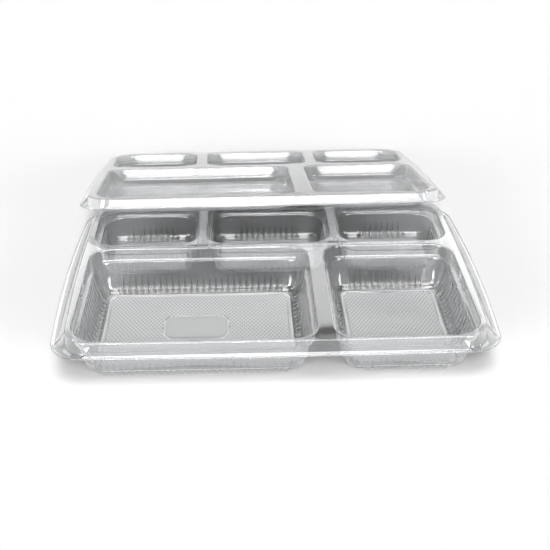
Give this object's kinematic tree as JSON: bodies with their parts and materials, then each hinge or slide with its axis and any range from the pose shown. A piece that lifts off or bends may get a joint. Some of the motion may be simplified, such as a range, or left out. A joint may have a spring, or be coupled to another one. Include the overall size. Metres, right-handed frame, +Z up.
{
  "type": "compartment plate",
  "caption": "Clear vacuum-formed meal tray with separate wells, a ridged rim and a narrow lip, and its matching press-on lid leant against the rear rim.",
  "frame": {"origin": "on the surface that the tray stands on, under the middle of the tray's plan, on the underside of the front left well's floor", "axes": "+Z up, +X to the right along the tray's width, +Y to the rear, where the lid leans"},
  "size_m": [0.2669, 0.331, 0.0497],
  "materials": {
    "clear_sheet": "clear, glossy, as formed"
  },
  "bodies": {
    "tray": {"tray": "clear_sheet"},
    "lid": {"lid": "clear_sheet"}
  },
  "joints": [
    {"name": "lid_lift", "type": "slide", "parent": "tray", "child": "lid", "axis": [0, 0, 1], "range_m": [0, 0.12]}
  ]
}
